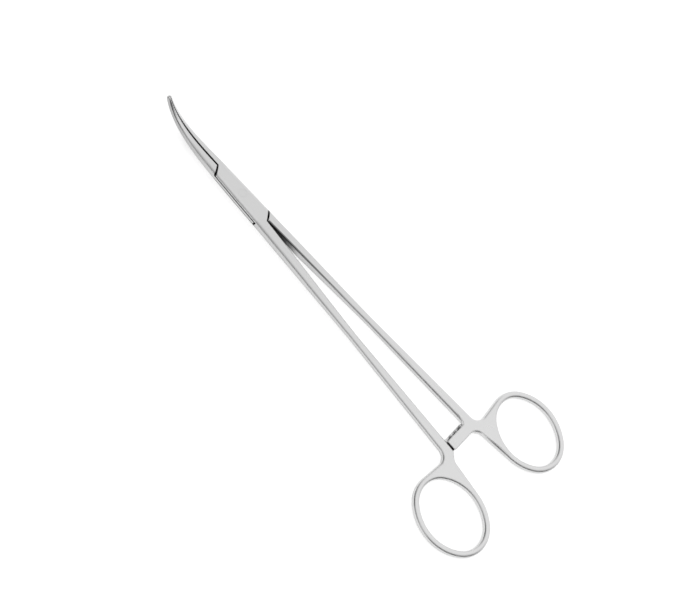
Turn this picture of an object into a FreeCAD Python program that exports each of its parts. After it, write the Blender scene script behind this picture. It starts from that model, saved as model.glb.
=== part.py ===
"""Curved haemostatic forceps with a box lock, 180 mm long.

Three forged or turned pieces: the female half, whose lock is a slotted box, the male half, whose
flat tongue passes through that box, and the pin that holds the tongue between the box's cheeks.
Each half runs from a curved, serrated jaw through the lock and along a tapering shank to a
ratchet bar and a finger ring. The halves cross in the lock, so the jaw and the ring of one half
lie on opposite sides.

Millimetres. X runs along the instrument towards the jaw tips, Z up along the lock pin, and the
origin is where the pin's axis meets the underside of the lock. The tips curve up. The pose is the
one with the tips just closed on the ratchet. Every piece is drawn about the middle plane of the
instrument and lifted by half the lock's thickness when it is written.
"""

import FreeCAD
import Part

import math
import os

V = FreeCAD.Vector

# Lock: a box with rounded sides, cut by oblique shoulders at both ends
LOCK_THICKNESS = 4.2
LOCK_REACH = 12.2
LOCK_SIDE_REACH = 10.1
LOCK_FRONT_HALF_WIDTH = 2.9
LOCK_MIDDLE_HALF_WIDTH = 3.4
LOCK_REAR_HALF_WIDTH = 3.75
LOCK_EDGE_RADIUS = 1.8
SHOULDER_GAP = 0.5
SLOT_SIDE_REACH = 10.7
SLOT_END_GAP = 0.65
SLOT_CHAMFER = 0.14
TONGUE_THICKNESS = 1.6
TONGUE_CLEARANCE = 0.04
PIN_DIAMETER = 2.8
PIN_CLEARANCE = 0.04

# Jaws: the turn of the centre line grows with the square of the distance from the lock
JAW_LENGTH = 29.6
JAW_TIP_TURN = 53.2
JAW_TIP_THICKNESS = 1.4
JAW_TIP_WIDTH = 0.8
JAW_TIP_EDGE_RADIUS = 0.55
JAW_TIP_END_RADIUS = 0.5
JAW_EDGE_POWER = 1.6
JAW_WIDTH_POWER = 1.15
JAW_THICKNESS_POWER = 1.4
JAW_STATIONS = 7
BITE_GAP_AT_LOCK = 0.4
BITE_GAP_AT_TIP = 0.06

# Serrations: grooves across the bite faces, half a pitch apart on the two jaws
GROOVE_PITCH = 0.95
GROOVE_WIDTH = 0.6
GROOVE_DEPTH = 0.16
GROOVE_START = 3.0
GROOVE_END_MARGIN = 0.8

# Shanks: an oval bar that thins behind the lock and runs straight to the ratchet
SHANK_ROOT_GAP = 0.3
SHANK_SPLAY = 0.0504
SHANK_WIDTH = 2.6
SHANK_WIDTH_AT_RATCHET = 3.9
SHANK_TAPER_END = 60.0
SHANK_INNER_EDGE_RADIUS = 0.3
SHANK_STATIONS = 6

# Handles: shank end, web and finger ring in one plate with rounded rims
HANDLE_THICKNESS = 2.8
HANDLE_RIM_RADIUS = 1.1
RING_REAR_X = -140.65
RING_INNER_Y = 8.9
RING_HALF_LENGTH = 15.45
RING_HALF_WIDTH = 12.6
RING_END_RADIUS = 10.9
RING_BAR = 2.3
WEB_FRONT = 111.1
WEB_FRONT_CORNER_RADIUS = 3.5
WEB_INNER_STEP = 2.0
WEB_INNER_RUN = 2.6
WEB_INNER_CORNER_RADIUS = 3.0
SHANK_END_RADIUS = 2.0

# Ratchet: one bar on each half, the male's above the female's, with teeth face to face
RATCHET_LOWER_FRONT = 106.5
RATCHET_UPPER_FRONT = 107.2
RATCHET_REAR = 111.0
RATCHET_END_GAP = 0.25
RATCHET_EDGE_RADIUS = 0.35
RATCHET_ROOT_RADIUS = 1.4
RATCHET_RUN_OUT = 6.0
RATCHET_CREST_CLEARANCE = 0.04
TOOTH_COUNT = 3
TOOTH_PITCH = 2.6
TOOTH_DEPTH = 0.8
TOOTH_CREST = 0.35
TOOTH_UNDERCUT = 0.12

MIDDLE = LOCK_THICKNESS / 2
HALF_HANDLE = HANDLE_THICKNESS / 2
RING_CENTRE = V(RING_REAR_X + RING_HALF_LENGTH, RING_INNER_Y + RING_HALF_WIDTH, 0)

# Steps used to add up the jaw's curve, and how close two positions count as the same
CURVE_STEPS = 200
CLOSE = 0.01


def ease(share):
    """Smooth step from 0 to 1 with no slope at either end."""
    return (1 - math.cos(math.pi * share)) / 2


def between(first, last, share):
    return first + (last - first) * share


def rounded_wire(corners, place):
    """Closed wire round corners (u, v, radius), listed in order; place turns (u, v) into a point."""
    count = len(corners)
    ends = []
    for i, (u, v, radius) in enumerate(corners):
        before = corners[i - 1]
        after = corners[(i + 1) % count]
        corner = V(u, v, 0)
        back = (V(before[0], before[1], 0) - corner).normalize()
        ahead = (V(after[0], after[1], 0) - corner).normalize()
        if radius == 0:
            ends.append((corner, None, corner))
            continue
        half = back.getAngle(ahead) / 2
        run = radius / math.tan(half)
        middle = (back + ahead).normalize() * (radius / math.sin(half) - radius)
        ends.append((corner + back * run, corner + middle, corner + ahead * run))
    edges = []
    for i, (start, middle, end) in enumerate(ends):
        if middle is not None:
            edges.append(Part.Arc(place(start), place(middle), place(end)).toShape())
        edges.append(Part.LineSegment(place(end), place(ends[(i + 1) % count][0])).toShape())
    return Part.Wire(edges)


def plan(corners, low, high):
    """Solid over a plan outline of corners (x, y, radius), from height low to height high."""
    wire = rounded_wire(corners, lambda p: V(p.x, p.y, low))
    return Part.Face(wire).extrude(V(0, 0, high - low))


def across(x):
    """Places a section's (y, z) in the plane at x."""
    return lambda p: V(x, p.x, p.y)


def mirrored(shape):
    """The same shape on the other side of the instrument."""
    return shape.mirror(V(0, 0, 0), V(0, 1, 0))


def turned_over(shape):
    """The shape after half a turn about the instrument's long axis."""
    copy = shape.copy()
    copy.rotate(V(0, 0, 0), V(1, 0, 0), 180)
    return copy


def half_turned(shape):
    """The shape after half a turn about the lock pin."""
    copy = shape.copy()
    copy.rotate(V(0, 0, 0), V(0, 0, 1), 180)
    return copy


# Lock

def lock_envelope():
    """The whole box as if uncut, with its rounded sides."""
    sections = []
    for x, half_width in (
        (-LOCK_REACH, LOCK_REAR_HALF_WIDTH),
        (0, LOCK_MIDDLE_HALF_WIDTH),
        (LOCK_REACH, LOCK_FRONT_HALF_WIDTH),
    ):
        corners = [
            (-half_width, -MIDDLE, LOCK_EDGE_RADIUS),
            (half_width, -MIDDLE, LOCK_EDGE_RADIUS),
            (half_width, MIDDLE, LOCK_EDGE_RADIUS),
            (-half_width, MIDDLE, LOCK_EDGE_RADIUS),
        ]
        sections.append(rounded_wire(corners, across(x)))
    return Part.makeLoft(sections, True, True)


def slanted_line(reach, side_reach, past):
    """Start on the middle line of a line that slants to side_reach, and its point past to the side."""
    slope = (LOCK_REACH - side_reach) / LOCK_FRONT_HALF_WIDTH
    return (reach, 0), (reach - slope * past, past)


def corner_region(gap):
    """Prism over what lies ahead of the front shoulder, on the side of the male jaw."""
    past = 2 * LOCK_REAR_HALF_WIDTH
    start, end = slanted_line(LOCK_REACH + gap, LOCK_SIDE_REACH, past)
    ahead = 2 * LOCK_REACH
    corners = [(*start, 0), (ahead, 0, 0), (ahead, past, 0), (*end, 0)]
    return plan(corners, -LOCK_THICKNESS, LOCK_THICKNESS)


def slot_region(end_gap, thickness):
    """Prism over the slot: it runs from side to side, between the roots of the female's jaw and shank."""
    past = 2 * LOCK_REAR_HALF_WIDTH
    start, end = slanted_line(LOCK_REACH - end_gap, SLOT_SIDE_REACH, past)
    ahead = 2 * LOCK_REACH
    half = [(*start, 0), (end[0], -end[1], 0), (-ahead, -past, 0), (-ahead, 0, 0)]
    other_half = [(-x, -y, radius) for x, y, radius in half]
    return plan(half + other_half, -thickness / 2, thickness / 2)


def side_edges(solid, height):
    """Edges along the lock's sides that lie at a height above and below its middle plane."""
    edges = []
    for edge in solid.Edges:
        box = edge.BoundBox
        flat = box.ZLength < CLOSE and abs(abs(box.ZMin) - height) < CLOSE
        middle = edge.valueAt((edge.FirstParameter + edge.LastParameter) / 2)
        if flat and box.XLength > LOCK_REACH / 2 and abs(middle.y) > LOCK_FRONT_HALF_WIDTH / 2:
            edges.append(edge)
    return edges


def lock_pin():
    return Part.makeCylinder(PIN_DIAMETER / 2, LOCK_THICKNESS, V(0, 0, -MIDDLE))


def tongue_hole():
    radius = PIN_DIAMETER / 2 + PIN_CLEARANCE
    return Part.makeCylinder(radius, LOCK_THICKNESS, V(0, 0, -MIDDLE))


# Jaws

def jaw_turn(share):
    return math.radians(JAW_TIP_TURN) * share ** 2


def jaw_point(share):
    """Point of the jaw's centre line, by adding up short steps along its turn."""
    length = JAW_LENGTH * share / CURVE_STEPS
    x = LOCK_REACH
    z = 0.0
    for i in range(CURVE_STEPS):
        turn = jaw_turn(share * (i + 0.5) / CURVE_STEPS)
        x += length * math.cos(turn)
        z += length * math.sin(turn)
    return V(x, 0, z)


def jaw_frame(share):
    """Centre point, forward direction and upward direction of the jaw at a share of its length."""
    turn = jaw_turn(share)
    forward = V(math.cos(turn), 0, math.sin(turn))
    upward = V(-math.sin(turn), 0, math.cos(turn))
    return jaw_point(share), forward, upward


def bite_offset(share):
    return between(BITE_GAP_AT_LOCK, BITE_GAP_AT_TIP, share) / 2


def jaw_thickness(share):
    return between(LOCK_THICKNESS, JAW_TIP_THICKNESS, share ** JAW_THICKNESS_POWER)


def jaw():
    """The male jaw, on the +Y side: flat bite face, outer edges rounded, tip rounded off."""
    sections = []
    for i in range(JAW_STATIONS):
        share = i / (JAW_STATIONS - 1)
        centre, forward, upward = jaw_frame(share)
        half = jaw_thickness(share) / 2
        width = between(LOCK_FRONT_HALF_WIDTH, JAW_TIP_WIDTH, share ** JAW_WIDTH_POWER)
        radius = between(LOCK_EDGE_RADIUS, JAW_TIP_EDGE_RADIUS, share ** JAW_EDGE_POWER)
        bite = bite_offset(share)
        corners = [
            (bite, -half, 0),
            (width, -half, radius),
            (width, half, radius),
            (bite, half, 0),
        ]
        sections.append(rounded_wire(corners, lambda p: centre + V(0, p.x, 0) + upward * p.y))
    blank = Part.makeLoft(sections, True)
    tip, forward, upward = jaw_frame(1)
    rims = []
    for edge in blank.Edges:
        middle = edge.valueAt((edge.FirstParameter + edge.LastParameter) / 2)
        at_tip = abs((middle - tip).dot(forward)) < CLOSE
        if at_tip and middle.y > bite_offset(1) + CLOSE:
            rims.append(edge)
    return blank.makeFillet(JAW_TIP_END_RADIUS, rims)


def grooves(shift):
    """V grooves across the bite face of the +Y jaw, from near the lock to near the tip."""
    cutters = []
    distance = GROOVE_START + shift
    while distance < JAW_LENGTH - GROOVE_END_MARGIN:
        share = distance / JAW_LENGTH
        centre, forward, upward = jaw_frame(share)
        bite = bite_offset(share)
        slack = BITE_GAP_AT_LOCK / 2
        widen = GROOVE_WIDTH / 2 * (1 + slack / GROOVE_DEPTH)
        low = centre - upward * jaw_thickness(share)
        points = [
            low + forward * -widen + V(0, bite - slack, 0),
            low + forward * widen + V(0, bite - slack, 0),
            low + V(0, bite + GROOVE_DEPTH, 0),
        ]
        face = Part.Face(Part.makePolygon(points + points[:1]))
        cutters.append(face.extrude(upward * (2 * jaw_thickness(share))))
        distance += GROOVE_PITCH
    return cutters


# Shank and handle, drawn on the +Y side

SPLAY_ANGLE = math.atan(SHANK_SPLAY)
SHANK_FORWARD = V(-math.cos(SPLAY_ANGLE), math.sin(SPLAY_ANGLE), 0)
SHANK_SIDE = V(math.sin(SPLAY_ANGLE), math.cos(SPLAY_ANGLE), 0)


def shank_centre(distance):
    """Point of the shank's centre line at a distance behind the pin."""
    root = (SHANK_ROOT_GAP / 2 + LOCK_REAR_HALF_WIDTH) / 2
    return V(-distance, root + SHANK_SPLAY * (distance - LOCK_REACH), 0)


def shank_edge(distance, side):
    """Point on the plate's outer (side 1) or inner (side -1) edge at a distance behind the pin."""
    share = (distance - SHANK_TAPER_END) / (RATCHET_REAR - SHANK_TAPER_END)
    width = between(SHANK_WIDTH, SHANK_WIDTH_AT_RATCHET, share)
    return shank_centre(distance) + SHANK_SIDE * (side * width / 2)


def ring_arcs():
    """The ring's outer line as four arcs: (centre, radius, angle of its middle, half its angle)."""
    shift = RING_HALF_LENGTH - RING_END_RADIUS
    reach = shift ** 2 + RING_HALF_WIDTH ** 2 - RING_END_RADIUS ** 2
    side_radius = reach / (2 * (RING_HALF_WIDTH - RING_END_RADIUS))
    drop = side_radius - RING_HALF_WIDTH
    half_end = math.atan2(drop, shift)
    half_side = math.pi / 2 - half_end
    return [
        (RING_CENTRE + V(shift, 0, 0), RING_END_RADIUS, 0, half_end),
        (RING_CENTRE + V(0, -drop, 0), side_radius, math.pi / 2, half_side),
        (RING_CENTRE + V(-shift, 0, 0), RING_END_RADIUS, math.pi, half_end),
        (RING_CENTRE + V(0, drop, 0), side_radius, -math.pi / 2, half_side),
    ]


def on_circle(centre, radius, angle):
    return centre + V(radius * math.cos(angle), radius * math.sin(angle), 0)


def ring_tangent(corner, side, inset=0):
    """Where a line from an outside corner touches the ring's line at an inset; side picks which."""
    for centre, radius, middle, half in ring_arcs():
        away = V(*corner, 0) - centre
        if away.Length < radius:
            continue
        turn = side * math.acos((radius - inset) / away.Length)
        angle = math.atan2(away.y, away.x) + turn
        off = (angle - middle + math.pi) % (2 * math.pi) - math.pi
        if abs(off) <= half:
            touch = on_circle(centre, radius - inset, angle)
            return touch.x, touch.y
    raise ValueError("no line from the corner touches the ring")


def ring_plate(inset):
    """Flat oval plate in the handle's thickness, inset from the ring's outer edge."""
    edges = []
    for centre, radius, middle, half in ring_arcs():
        points = [on_circle(centre, radius - inset, middle + turn) for turn in (-half, 0, half)]
        edges.append(Part.Arc(*points).toShape())
    face = Part.Face(Part.Wire(edges))
    face.translate(V(0, 0, -HALF_HANDLE))
    return face.extrude(V(0, 0, HANDLE_THICKNESS))


def rim_edges(solid, low, high):
    """Edges of a flat plate that lie in its two faces."""
    rims = []
    for edge in solid.Edges:
        box = edge.BoundBox
        flat = box.ZLength < CLOSE
        if flat and (abs(box.ZMin - low) < CLOSE or abs(box.ZMax - high) < CLOSE):
            rims.append(edge)
    return rims


def web_corner():
    """Where the ratchet bar's rear edge would meet the line that touches the ring's inner side."""
    shank_corner = shank_edge(RATCHET_REAR, -1)
    return shank_corner.x, shank_corner.y + WEB_INNER_STEP


def handle():
    """Straight end of the shank, the web behind it and the finger ring, with rounded rims."""
    inner_start = shank_edge(SHANK_TAPER_END, -1)
    inner_end = shank_edge(RATCHET_REAR, -1)
    outer_start = shank_edge(SHANK_TAPER_END, 1)
    outer_corner = shank_edge(WEB_FRONT, 1)
    touch = V(*ring_tangent(web_corner(), -1), 0)
    inner_corner = V(*web_corner(), 0)
    inner_corner += (touch - inner_corner).normalize() * WEB_INNER_RUN
    outline = [
        (inner_start.x, inner_start.y, 0),
        (inner_end.x, inner_end.y, SHANK_END_RADIUS),
        (inner_corner.x, inner_corner.y, WEB_INNER_CORNER_RADIUS),
        (touch.x, touch.y, 0),
        (RING_CENTRE.x, RING_CENTRE.y, 0),
        (*ring_tangent(outer_corner[:2], 1), 0),
        (outer_corner.x, outer_corner.y, WEB_FRONT_CORNER_RADIUS),
        (outer_start.x, outer_start.y, 0),
    ]
    plate = plan(outline, -HALF_HANDLE, HALF_HANDLE).fuse(ring_plate(0)).removeSplitter()
    plate = plate.cut(ring_plate(RING_BAR))
    start = shank_centre(SHANK_TAPER_END)
    rims = []
    for edge in rim_edges(plate, -HALF_HANDLE, HALF_HANDLE):
        middle = edge.valueAt((edge.FirstParameter + edge.LastParameter) / 2)
        if (middle - start).dot(SHANK_FORWARD) > CLOSE:
            rims.append(edge)
    return plate.makeFillet(HANDLE_RIM_RADIUS, rims)


def shank(plate):
    """Oval bar from the lock's end face to the square-cut end of the plate."""
    root_width = LOCK_REAR_HALF_WIDTH - SHANK_ROOT_GAP / 2
    sections = []
    for i in range(SHANK_STATIONS - 1):
        share = i / (SHANK_STATIONS - 1)
        centre = shank_centre(between(LOCK_REACH, SHANK_TAPER_END, share))
        side = V(0, 1, 0) if i == 0 else SHANK_SIDE
        half_width = between(root_width, SHANK_WIDTH, share) / 2
        half_height = between(LOCK_THICKNESS, HANDLE_THICKNESS, ease(share)) / 2
        outer = between(LOCK_EDGE_RADIUS, HANDLE_RIM_RADIUS, share)
        inner = between(SHANK_INNER_EDGE_RADIUS, HANDLE_RIM_RADIUS, share)
        corners = [
            (-half_width, -half_height, inner),
            (half_width, -half_height, outer),
            (half_width, half_height, outer),
            (-half_width, half_height, inner),
        ]
        sections.append(rounded_wire(corners, lambda p: centre + side * p.x + V(0, 0, p.y)))
    start = shank_centre(SHANK_TAPER_END)
    for face in plate.Faces:
        if abs((face.CenterOfMass - start).dot(SHANK_FORWARD)) < CLOSE:
            sections.append(face.OuterWire)
    return Part.makeLoft(sections, True, True)


# Ratchet

def ratchet_bar(front):
    """The female's bar under the male's: rounded into shank and web, where its edge runs out."""
    inset = HANDLE_RIM_RADIUS
    front_root = shank_edge(front, -1)
    corner = web_corner()
    end = front_root.y - RATCHET_END_GAP
    run_out = shank_edge(front - RATCHET_RUN_OUT, -1) + SHANK_SIDE * inset
    inside = shank_edge(RATCHET_REAR, 1) - SHANK_SIDE * inset
    corners = [
        (run_out.x, run_out.y, 0),
        (front_root.x, front_root.y, RATCHET_ROOT_RADIUS),
        (front_root.x, -end, RATCHET_EDGE_RADIUS),
        (corner[0], -end, RATCHET_EDGE_RADIUS),
        (*corner, WEB_INNER_CORNER_RADIUS),
        (*ring_tangent(corner, -1, inset), 0),
        (inside.x, inside.y, 0),
    ]
    return plan(corners, -HALF_HANDLE, -RATCHET_CREST_CLEARANCE)


def tooth_gaps():
    """The gaps between the female's ratchet teeth, steep on the side that holds the jaws shut."""
    ramp = TOOTH_PITCH - TOOTH_CREST
    first = -(TOOTH_COUNT - 1) / 2 * TOOTH_PITCH - ramp / 2
    front = -RATCHET_LOWER_FRONT + RATCHET_END_GAP
    rear = -RATCHET_REAR - RATCHET_END_GAP
    cutters = []
    for i in range(TOOTH_COUNT):
        steep = first + i * TOOTH_PITCH
        points = [
            V(front, steep, 0),
            V(front, steep - TOOTH_UNDERCUT, -RATCHET_CREST_CLEARANCE - TOOTH_DEPTH),
            V(front, steep + ramp, -RATCHET_CREST_CLEARANCE),
            V(front, steep + ramp, 0),
        ]
        face = Part.Face(Part.makePolygon(points + points[:1]))
        cutters.append(face.extrude(V(rear - front, 0, 0)))
    return cutters


# Pieces

def joined(shapes):
    """One solid from shapes that overlap or share faces."""
    solid = shapes[0].fuse(shapes[1:]).removeSplitter()
    if len(solid.Solids) != 1:
        raise ValueError(f"{len(solid.Solids)} solids instead of one")
    return solid.Solids[0]


def rear_half(ratchet_front):
    """Shank, handle and lower ratchet bar on the +Y side, as on the female half."""
    plate = handle()
    bar = ratchet_bar(ratchet_front).cut(tooth_gaps())
    return joined([joined([plate, shank(plate)]), bar])


def female_half():
    """Box of the lock, jaw on the -Y side, shank and handle on the +Y side, lower ratchet bar."""
    box = lock_envelope()
    box = box.cut([corner_region(0), half_turned(corner_region(0))])
    slot_thickness = TONGUE_THICKNESS + 2 * TONGUE_CLEARANCE
    box = box.cut(slot_region(0, slot_thickness))
    box = box.makeChamfer(SLOT_CHAMFER, side_edges(box, slot_thickness / 2))
    box = box.cut(lock_pin())
    jaw_piece = mirrored(jaw().cut(grooves(0)))
    return joined([box, jaw_piece, rear_half(RATCHET_LOWER_FRONT)])


def male_half():
    """Tongue of the lock, jaw on the +Y side, shank and handle on the -Y side, upper ratchet bar."""
    box = lock_envelope()
    tongue = box.common(slot_region(SLOT_END_GAP, TONGUE_THICKNESS))
    tongue = tongue.makeChamfer(SLOT_CHAMFER, side_edges(tongue, TONGUE_THICKNESS / 2))
    tongue = tongue.cut(tongue_hole())
    front = box.common(corner_region(SHOULDER_GAP))
    rear = box.common(half_turned(corner_region(SHOULDER_GAP)))
    jaw_piece = jaw().cut(grooves(GROOVE_PITCH / 2))
    handle_piece = turned_over(rear_half(RATCHET_UPPER_FRONT))
    return joined([tongue, front, rear, jaw_piece, handle_piece])


NODES = {"female_half": female_half, "male_half": male_half, "lock_pin": lock_pin}

if __name__ == "__main__":
    os.makedirs("parts", exist_ok=True)
    for name, make in NODES.items():
        shape = make()
        shape.translate(V(0, 0, MIDDLE))
        print(name, shape.ShapeType, shape.isValid(), round(shape.Volume, 1))
        shape.exportStep(f"parts/{name}.step")
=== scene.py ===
"""Looks of the hemostat forceps: satin steel, studio light, pale table and the photograph's camera."""

import math

import bpy
from mathutils import Matrix, Vector


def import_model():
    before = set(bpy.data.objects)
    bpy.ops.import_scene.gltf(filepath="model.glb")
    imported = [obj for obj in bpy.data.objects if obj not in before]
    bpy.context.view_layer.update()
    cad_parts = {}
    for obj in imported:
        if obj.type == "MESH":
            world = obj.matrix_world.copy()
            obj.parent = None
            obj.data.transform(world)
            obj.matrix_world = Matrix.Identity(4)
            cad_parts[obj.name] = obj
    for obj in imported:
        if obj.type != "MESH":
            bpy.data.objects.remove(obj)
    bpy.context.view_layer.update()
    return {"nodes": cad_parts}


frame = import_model()

# Lengths and places are in metres, angles in degrees. X runs to the jaw tips, Y to the near side of the
# photograph, Z up. A ramp is four numbers: where it starts, where it ends, its value before and after.

# Picture
PICTURE_WIDTH = 700
SENSOR_WIDTH = 36.0

# Camera
FOCAL_PIXELS = 1725.5
CAMERA_YAW = -48.16
CAMERA_PITCH = 3.0
CAMERA_ROLL = -29.5
CAMERA_OFFSET = (0.03639, -0.03458, 0.5742)
CAMERA_NEAREST = 0.01
CAMERA_FARTHEST = 20

# Studio: brightness all round, and of the room on the near side, straight ahead and aside of that
STUDIO_LEVEL = 0.93
ROOM_AHEAD = (0.15, 1.0, 0.36, STUDIO_LEVEL)
ROOM_ASIDE = (0.35, 0.9, 0.0, STUDIO_LEVEL)
ROOM_NEAR = (-0.8, 0.1, 0, 1)
ROOM_RIGHT = (0.25, 0.8, 0, 1)
ROOM_LEFT = (-0.32, 0.08, 1, 0)

# Table
TABLE_DROP = 0.0001
TABLE_TILT = 0.38
TABLE_SIZE = 6.0
TABLE_WHITE = 0.6
TABLE_GLOW = 0.7
TABLE_MIRRORED = 0.8

# Steel: colour along the instrument, gloss, grain, and how round its edges look
LOCK_MIDDLE = 0.0021
STEEL_TONE = (-0.115, -0.02, 0.785, 0.7)
STEEL_ROUGHNESS = (0, 1, 0.24, 0.34)
CLOUD_SCALE = 180
CLOUD_DETAIL = 4
GRAIN_SCALE = 4000
GRAIN_DETAIL = 3
GRAIN_STRETCH = (0.12, 1, 1)
GRAIN_STRENGTH = 0.25
GRAIN_HEIGHT = 0.000004
EDGE_SAMPLES = 6
EDGE_NEAR_PIN = (0.0024, 0.0034, 0.00012, 0.0006)
EDGE_ON_JAWS = (0.015, 0.03, 0.0006, 0.0002)

# Painted shade in crevices and along sharp edges, and the parts that go without it
SHADE_SAMPLES = 8
CREVICE_REACH = 0.0022
CREVICE_SHADE = (0.45, 0.92, 0, 1)
EDGE_REACH = 0.00012
EDGE_SHADE = (0.6, 0.95, 0, 1)
NEAR_TABLE = (0.0008, 0.0013, 1, 0)
NEAR_PIN = (0.0022, 0.0028, 1, 0)
AT_TIPS = (0.018, 0.034, 0, 0.5)
ON_HANDLES = (-0.1, -0.095, 1, 0)

# End face of the upper ratchet bar, the one place on the handles with that painted shade
BEFORE_BAR_END = (0.0045, 0.0046, 1, 0)
BAR_TOP = (0.00275, 0.00295, 0, 1)
BAR_REAR = (-0.1122, -0.1116, 1, 0)

# Which faces count as level and which as upright: a level face has 1, an upright one 0
LEVEL_FACE = (0.85, 0.95, 0, 1)
UPRIGHT_FACE = (0.3, 0.6, 1, 0)

# Painted shade lines along the seams on the lock's sides, at their heights from its middle
UPPER_SEAM_HEIGHT = 0.00082
UPPER_SEAM = (0.00013, 0.0002, 0.1, 1)
LOWER_SEAM_HEIGHT = -0.00074
LOWER_SEAM = (0.00022, 0.0003, 0.12, 1)
BEYOND_SEAM = (0.0099, 0.0101, 0, 1)
WITHIN_SEAM = (0.0099, 0.0101, 1, 0)

# Painted shade lines on top along the oblique shoulder gaps, each on its own side of the instrument
SHOULDER_SLANT = (1, 0.724, 0)
SHOULDER_DISTANCE = 0.01233
SHOULDER_LINE = (0.00034, 0.0004, 0.08, 1)
OTHER_SIDE = (-0.000001, 0, 1, 0)

# Painted shade line on top where the jaws meet
BITE_LINE = (0.00024, 0.00036, 0, 1)
BITE_FADE = (0.024, 0.034, 0.1, 1)
BEFORE_BITE = (0.0122, 0.0123, 1, 0)

# Painted shade line along the inner upper edge of the male shank, behind the lock
SHANK_SLOPE = (-0.0608, 1, 0)
SHANK_INSIDE = (0.00005, 0.00015, 1, 0)
SHANK_TOP = (0.0034, 0.0036, 1, 0)
SHANK_FADE = (-0.085, -0.014, 1, 0.25)
SHANK_FRONT = (-0.0127, -0.0126, 0, 1)
FEMALE_SIDE = (-0.00002, 0, 0, 1)

# Jaws: painted shade on their sides, and a painted highlight on the turn from the side to the top
JAW_SIDE = (0.0122, 0.03, 1, 0.74)
JAW_SIDE_FACE = (0.3, 0.5, 0.7, 1)
JAW_TURN = (0.022, 0.031, 0, 1)
JAW_TURN_OFF_TOP = (0.86, 0.96, 1, 0)
JAW_TURN_OFF_SIDE = (0.35, 0.55, 0, 1)
JAW_TURN_HIGHLIGHT = (0, 1, 1, 1.28)

# Lock: a painted highlight, a lighter strip between the upper seam and the top
STRIP_HEIGHT = (0.00098, 0.00106, 0, 1)
STRIP_FACE = (0.8, 0.98, 1, 0)
STRIP_HIGHLIGHT = (0, 1, 1, 1.14)


class Graph:
    """A cleared node tree, with short ways to add nodes and chains of them."""

    def __init__(self, tree):
        tree.nodes.clear()
        self.tree = tree
        self.link = tree.links.new

    def add(self, kind, **settings):
        node = self.tree.nodes.new(kind)
        for key, value in settings.items():
            setattr(node, key, value)
        return node

    def fill(self, node, **numbers):
        """Numbers on a node's inputs, named with an underscore for a space."""
        for key, number in numbers.items():
            node.inputs[key.replace("_", " ")].default_value = number
        return node

    def ramp(self, value, start, end, before, after, **settings):
        """A value's way from start to end, as one from before to after."""
        node = self.add("ShaderNodeMapRange", **settings)
        self.fill(node, From_Min=start, From_Max=end, To_Min=before, To_Max=after)
        self.link(value, node.inputs["Value"])
        return node.outputs["Result"]

    def combine(self, operation, first, *others):
        """A chain of one operation. Each of the others is a number or a node's output."""
        for other in others:
            node = self.add("ShaderNodeMath", operation=operation)
            self.link(first, node.inputs[0])
            if isinstance(other, (int, float)):
                node.inputs[1].default_value = other
            else:
                self.link(other, node.inputs[1])
            first = node.outputs["Value"]
        return first

    def unsigned(self, value):
        """A value without its sign."""
        node = self.add("ShaderNodeMath", operation="ABSOLUTE")
        self.link(value, node.inputs[0])
        return node.outputs["Value"]

    def vector(self, operation, first, second=None):
        """A vector operation. The second, where it takes one, is three numbers."""
        node = self.add("ShaderNodeVectorMath", operation=operation)
        self.link(first, node.inputs[0])
        if second:
            node.inputs[1].default_value = second
        return node

    def split(self, vector):
        node = self.add("ShaderNodeSeparateXYZ")
        self.link(vector, node.inputs["Vector"])
        return node.outputs["X"], node.outputs["Y"], node.outputs["Z"]


def camera():
    """The camera that saw the photograph, turned about the middle of the lock."""
    flip = Matrix.Diagonal((-1, -1, 1)).to_3x3()
    yaw = Matrix.Rotation(math.radians(CAMERA_YAW), 3, "Z")
    pitch = Matrix.Rotation(math.radians(CAMERA_PITCH), 3, "Y")
    roll = Matrix.Rotation(math.radians(CAMERA_ROLL), 3, "X")
    turn = (yaw @ pitch @ roll @ flip).transposed()
    data = bpy.data.cameras.new("camera")
    data.sensor_width = SENSOR_WIDTH
    data.lens = SENSOR_WIDTH * FOCAL_PIXELS / PICTURE_WIDTH
    data.clip_start = CAMERA_NEAREST
    data.clip_end = CAMERA_FARTHEST
    piece = bpy.data.objects.new("camera", data)
    bpy.context.scene.collection.objects.link(piece)
    place = turn @ Vector(CAMERA_OFFSET) + Vector((0, 0, LOCK_MIDDLE))
    piece.matrix_world = Matrix.Translation(place) @ turn.to_4x4()
    bpy.context.scene.camera = piece


def new_material(name):
    """An empty node material and its graph."""
    material = bpy.data.materials.new(name)
    material.use_nodes = True
    return material, Graph(material.node_tree)


def shade(graph, place, spots, from_pin):
    """Factor of painted shade in the base colour, darker in crevices and along sharp edges, but not near the
    table, the pin, or on the handles.
    """
    x, y, z = spots
    crevice = graph.add("ShaderNodeAmbientOcclusion", samples=SHADE_SAMPLES)
    graph.fill(crevice, Distance=CREVICE_REACH)
    edge = graph.add("ShaderNodeAmbientOcclusion", samples=SHADE_SAMPLES, inside=True)
    graph.fill(edge, Distance=EDGE_REACH)
    tight = graph.combine("MINIMUM", graph.ramp(crevice.outputs["AO"], *CREVICE_SHADE),
                          graph.ramp(edge.outputs["AO"], *EDGE_SHADE))
    table_up = (math.sin(math.radians(TABLE_TILT)), 0, 1)
    height = graph.vector("DOT_PRODUCT", place, table_up).outputs["Value"]
    off_bar_end = graph.combine("MAXIMUM", graph.ramp(x, *BAR_REAR), graph.ramp(z, *BAR_TOP),
                                graph.ramp(y, *BEFORE_BAR_END))
    handles = graph.combine("MULTIPLY", graph.ramp(x, *ON_HANDLES), off_bar_end)
    return graph.combine("MAXIMUM", tight, graph.ramp(height, *NEAR_TABLE), handles, graph.ramp(x, *AT_TIPS),
                         graph.ramp(from_pin, *NEAR_PIN))


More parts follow.
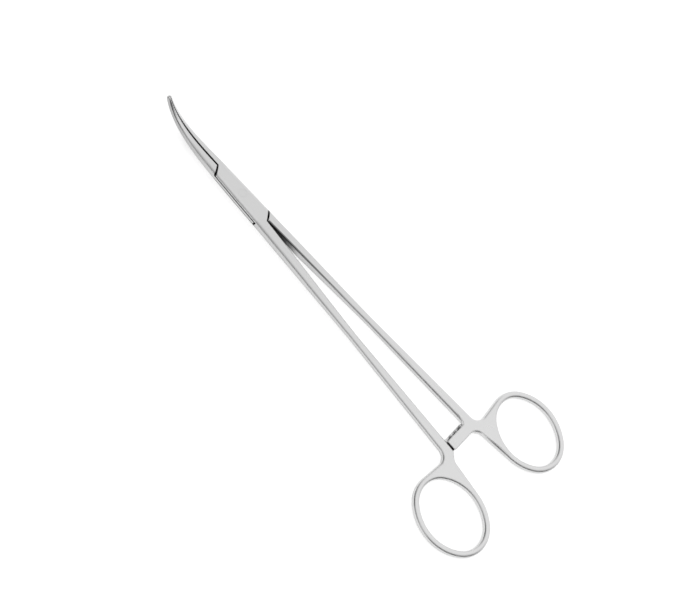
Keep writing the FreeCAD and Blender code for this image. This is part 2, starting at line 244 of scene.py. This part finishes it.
def lines(graph, place, spots, levelness):
    """Factor of painted shade: thin dark lines in the base colour along the seams, shoulders, bite and shank.
    """
    x, y, z = spots
    upright = graph.ramp(levelness, *UPRIGHT_FACE)
    from_middle = graph.combine("SUBTRACT", z, LOCK_MIDDLE)
    upper = graph.unsigned(graph.combine("SUBTRACT", from_middle, UPPER_SEAM_HEIGHT))
    lower = graph.unsigned(graph.combine("SUBTRACT", from_middle, LOWER_SEAM_HEIGHT))
    seam = graph.combine("MINIMUM", graph.ramp(upper, *UPPER_SEAM), graph.ramp(lower, *LOWER_SEAM))
    seam = graph.combine("MAXIMUM", seam, graph.ramp(graph.unsigned(x), *BEYOND_SEAM),
                         graph.ramp(levelness, *LEVEL_FACE))
    slant = graph.vector("DOT_PRODUCT", place, SHOULDER_SLANT).outputs["Value"]
    reach = graph.unsigned(graph.combine("SUBTRACT", graph.unsigned(slant), SHOULDER_DISTANCE))
    own_side = graph.combine("MULTIPLY", slant, y)
    shoulder = graph.combine("MAXIMUM", graph.ramp(reach, *SHOULDER_LINE), graph.ramp(own_side, *OTHER_SIDE),
                             upright)
    bite = graph.combine("MAXIMUM", graph.ramp(graph.unsigned(y), *BITE_LINE), graph.ramp(x, *BITE_FADE),
                         graph.ramp(x, *BEFORE_BITE), upright)
    slope = graph.vector("DOT_PRODUCT", place, SHANK_SLOPE).outputs["Value"]
    shank = graph.combine("MAXIMUM", graph.ramp(slope, *SHANK_INSIDE), graph.ramp(z, *SHANK_TOP),
                          graph.ramp(x, *SHANK_FADE), graph.ramp(x, *SHANK_FRONT),
                          graph.ramp(y, *FEMALE_SIDE))
    return graph.combine("MULTIPLY", seam, shoulder, bite, shank)


def painted_side_light(graph, spots, facing_up, levelness):
    """Factor of painted light: painted shade on the jaws' sides, a painted highlight on their turn to the
    top, and a painted highlight on the lock's strip.
    """
    x, _, z = spots
    jaw_side = graph.combine("MAXIMUM", graph.ramp(facing_up, *JAW_SIDE_FACE), graph.ramp(x, *JAW_SIDE))
    jaw_turn = graph.combine("MINIMUM", graph.ramp(x, *JAW_TURN), graph.ramp(levelness, *JAW_TURN_OFF_TOP),
                             graph.ramp(facing_up, *JAW_TURN_OFF_SIDE))
    strip = graph.combine("MINIMUM", graph.ramp(graph.combine("SUBTRACT", z, LOCK_MIDDLE), *STRIP_HEIGHT),
                          graph.ramp(levelness, *STRIP_FACE), graph.ramp(graph.unsigned(x), *WITHIN_SEAM))
    # Painted highlights on the lock's strip and on the jaws' turn to the top
    lighter = graph.combine("MAXIMUM", graph.ramp(strip, *STRIP_HIGHLIGHT), graph.ramp(jaw_turn, *JAW_TURN_HIGHLIGHT))
    return graph.combine("MULTIPLY", jaw_side, lighter)


def steel(name):
    """Satin steel: fine lines along the instrument, a soft cloud in its gloss, edges a touch rounder, and
    painted shade and painted highlights in its base colour.
    """
    material, graph = new_material(name)
    output = graph.add("ShaderNodeOutputMaterial")
    shader = graph.add("ShaderNodeBsdfPrincipled")
    graph.fill(shader, Metallic=1)
    graph.link(shader.outputs["BSDF"], output.inputs["Surface"])
    place = graph.add("ShaderNodeTexCoord").outputs["Object"]
    spots = graph.split(place)
    facing_up = graph.split(graph.add("ShaderNodeNewGeometry").outputs["Normal"])[2]
    levelness = graph.unsigned(facing_up)
    flat = graph.vector("MULTIPLY", place, (1, 1, 0)).outputs["Vector"]
    from_pin = graph.vector("LENGTH", flat).outputs["Value"]

    # Base colour: the steel's colour along the instrument, times painted shade in crevices and edges, painted
    # shade lines, and painted shade and highlights on the jaws and lock
    tone = graph.combine("MULTIPLY", graph.ramp(spots[0], *STEEL_TONE), shade(graph, place, spots, from_pin),
                         lines(graph, place, spots, levelness),
                         painted_side_light(graph, spots, facing_up, levelness))
    graph.link(tone, shader.inputs["Base Color"])

    cloud = graph.fill(graph.add("ShaderNodeTexNoise"), Scale=CLOUD_SCALE, Detail=CLOUD_DETAIL)
    graph.link(place, cloud.inputs["Vector"])
    graph.link(graph.ramp(cloud.outputs["Fac"], *STEEL_ROUGHNESS), shader.inputs["Roughness"])

    stretch = graph.fill(graph.add("ShaderNodeMapping"), Scale=GRAIN_STRETCH)
    graph.link(place, stretch.inputs["Vector"])
    grain = graph.fill(graph.add("ShaderNodeTexNoise"), Scale=GRAIN_SCALE, Detail=GRAIN_DETAIL)
    graph.link(stretch.outputs["Vector"], grain.inputs["Vector"])
    bevel = graph.add("ShaderNodeBevel", samples=EDGE_SAMPLES)
    radius = graph.combine("MINIMUM", graph.ramp(from_pin, *EDGE_NEAR_PIN),
                           graph.ramp(spots[0], *EDGE_ON_JAWS))
    graph.link(radius, bevel.inputs["Radius"])
    bump = graph.fill(graph.add("ShaderNodeBump"), Strength=GRAIN_STRENGTH, Distance=GRAIN_HEIGHT)
    graph.link(grain.outputs["Fac"], bump.inputs["Height"])
    graph.link(bevel.outputs["Normal"], bump.inputs["Normal"])
    graph.link(bump.outputs["Normal"], shader.inputs["Normal"])
    return material


def table():
    """White table under the lock and the rings, which shows white to the camera and in the steel."""
    mesh = bpy.data.meshes.new("table")
    half = TABLE_SIZE / 2
    corners = [(-half, -half, 0), (half, -half, 0), (half, half, 0), (-half, half, 0)]
    mesh.from_pydata(corners, [], [(0, 1, 2, 3)])
    piece = bpy.data.objects.new("table", mesh)
    bpy.context.scene.collection.objects.link(piece)
    piece.location = (0, 0, -TABLE_DROP)
    piece.rotation_euler = (0, math.radians(TABLE_TILT), 0)
    material, graph = new_material("table_white")
    output = graph.add("ShaderNodeOutputMaterial")
    diffuse = graph.fill(graph.add("ShaderNodeBsdfDiffuse"), Color=(TABLE_WHITE, TABLE_WHITE, TABLE_WHITE, 1))
    glow = graph.fill(graph.add("ShaderNodeEmission"), Strength=TABLE_GLOW)
    path = graph.add("ShaderNodeLightPath")
    mirrored = graph.combine("MULTIPLY", path.outputs["Is Glossy Ray"], TABLE_MIRRORED)
    seen = graph.combine("MAXIMUM", path.outputs["Is Camera Ray"], mirrored)
    graph.link(seen, glow.inputs["Color"])
    both = graph.add("ShaderNodeAddShader")
    graph.link(diffuse.outputs["BSDF"], both.inputs[0])
    graph.link(glow.outputs["Emission"], both.inputs[1])
    graph.link(both.outputs["Shader"], output.inputs["Surface"])
    mesh.materials.append(material)


def world():
    """White studio round the table, with the darker part of the room low on the near side."""
    scene_world = bpy.data.worlds.new("studio")
    bpy.context.scene.world = scene_world
    scene_world.use_nodes = True
    graph = Graph(scene_world.node_tree)
    output = graph.add("ShaderNodeOutputWorld")
    background = graph.add("ShaderNodeBackground")
    x, y, z = graph.split(graph.add("ShaderNodeTexCoord").outputs["Generated"])

    def step(value, numbers):
        return graph.ramp(value, *numbers, interpolation_type="SMOOTHSTEP")

    def blend(share, first, second):
        node = graph.add("ShaderNodeMix")
        graph.link(share, node.inputs["Factor"])
        graph.link(first, node.inputs["A"])
        graph.link(second, node.inputs["B"])
        return node.outputs["Result"]

    studio = graph.add("ShaderNodeValue").outputs["Value"]
    studio.default_value = STUDIO_LEVEL
    aside = graph.combine("MAXIMUM", step(x, ROOM_RIGHT), step(x, ROOM_LEFT))
    room = blend(aside, step(z, ROOM_AHEAD), step(z, ROOM_ASIDE))
    graph.link(blend(step(y, ROOM_NEAR), studio, room), background.inputs["Color"])
    graph.link(background.outputs["Background"], output.inputs["Surface"])


camera()
world()
table()
for node, piece in frame["nodes"].items():
    piece.data.materials.clear()
    piece.data.materials.append(steel(node + "_steel"))

bpy.context.scene.view_settings.view_transform = "Standard"
